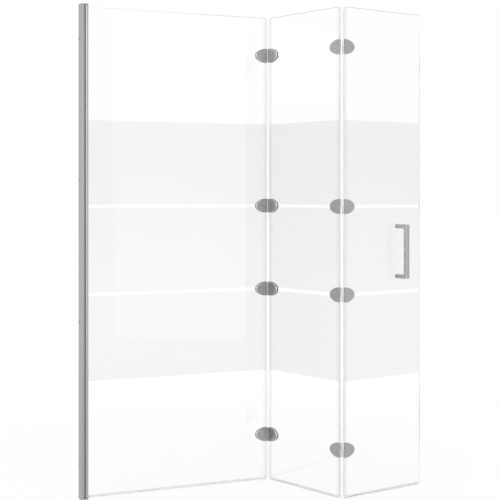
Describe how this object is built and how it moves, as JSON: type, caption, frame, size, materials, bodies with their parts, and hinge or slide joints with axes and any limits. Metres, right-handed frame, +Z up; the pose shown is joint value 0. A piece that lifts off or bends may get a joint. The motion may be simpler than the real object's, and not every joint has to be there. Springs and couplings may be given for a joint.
{
  "type": "folding shower screen",
  "caption": "Glass bath screen of hinged panels that fold up in a zigzag against a wall channel, with oval offset-pivot hinges, clear seals and a square pull handle.",
  "frame": {"origin": "on the channel's wall face, in the middle of its width and at its foot", "axes": "+X out of the wall along the fixed panel, -Y towards the room side that carries the handle, +Z up"},
  "size_m": [0.9764, 0.3229, 1.4],
  "materials": {
    "satin_aluminium": "satin anodised",
    "glazing_rubber": "matt grey",
    "cap_plastic": "matt grey",
    "screw_steel": "plain steel",
    "clear_glass": "clear tempered, with frosted bands",
    "clear_seal": "clear soft",
    "hinge_metal": "satin chromed",
    "hinge_rubber": "translucent grey",
    "white_nylon": "natural",
    "handle_metal": "satin chromed"
  },
  "bodies": {
    "fixed_panel": {"wall_channel": "satin_aluminium", "adjusting_profile": "satin_aluminium", "glazing_gasket_front": "glazing_rubber", "glazing_gasket_back": "glazing_rubber", "profile_top_cap": "cap_plastic", "profile_bottom_cap": "cap_plastic", "locking_screws": "screw_steel", "fixed_glass": "clear_glass", "fixed_drip_seal": "clear_seal", "fixed_edge_seal": "clear_seal", "inner_bottom_hinge_fixed_leaf": "hinge_metal", "inner_lower_hinge_fixed_leaf": "hinge_metal", "inner_upper_hinge_fixed_leaf": "hinge_metal", "inner_top_hinge_fixed_leaf": "hinge_metal", "inner_fixed_covers": "hinge_metal", "inner_fixed_gaskets": "hinge_rubber", "inner_fixed_sleeves": "white_nylon", "inner_fixed_screws": "screw_steel", "inner_hinge_pins": "screw_steel", "inner_hinge_washers": "white_nylon"},
    "middle_leaf": {"middle_glass": "clear_glass", "middle_drip_seal": "clear_seal", "middle_inner_edge_seal": "clear_seal", "middle_outer_edge_seal": "clear_seal", "inner_bottom_hinge_moving_leaf": "hinge_metal", "inner_lower_hinge_moving_leaf": "hinge_metal", "inner_upper_hinge_moving_leaf": "hinge_metal", "inner_top_hinge_moving_leaf": "hinge_metal", "inner_moving_covers": "hinge_metal", "inner_moving_gaskets": "hinge_rubber", "inner_moving_sleeves": "white_nylon", "inner_moving_screws": "screw_steel", "outer_bottom_hinge_fixed_leaf": "hinge_metal", "outer_lower_hinge_fixed_leaf": "hinge_metal", "outer_upper_hinge_fixed_leaf": "hinge_metal", "outer_top_hinge_fixed_leaf": "hinge_metal", "outer_fixed_covers": "hinge_metal", "outer_fixed_gaskets": "hinge_rubber", "outer_fixed_sleeves": "white_nylon", "outer_fixed_screws": "screw_steel", "outer_hinge_pins": "screw_steel", "outer_hinge_washers": "white_nylon"},
    "end_leaf": {"end_glass": "clear_glass", "end_drip_seal": "clear_seal", "end_edge_seal": "clear_seal", "outer_bottom_hinge_moving_leaf": "hinge_metal", "outer_lower_hinge_moving_leaf": "hinge_metal", "outer_upper_hinge_moving_leaf": "hinge_metal", "outer_top_hinge_moving_leaf": "hinge_metal", "outer_moving_covers": "hinge_metal", "outer_moving_gaskets": "hinge_rubber", "outer_moving_sleeves": "white_nylon", "outer_moving_screws": "screw_steel", "handle_bow": "handle_metal", "handle_pads": "clear_seal", "handle_rosettes": "handle_metal", "handle_screws": "screw_steel"}
  },
  "joints": [
    {"name": "inner_fold", "type": "hinge", "parent": "fixed_panel", "child": "middle_leaf", "pos_m": [0.59325, -0.0059, 0.7], "axis": [0, 0, -1], "range_deg": [-76, 99]},
    {"name": "outer_fold", "type": "hinge", "parent": "middle_leaf", "child": "end_leaf", "pos_m": [0.67836, -0.2985, 0.7], "axis": [0, 0, 1], "range_deg": [-87.8, 92.2]}
  ]
}
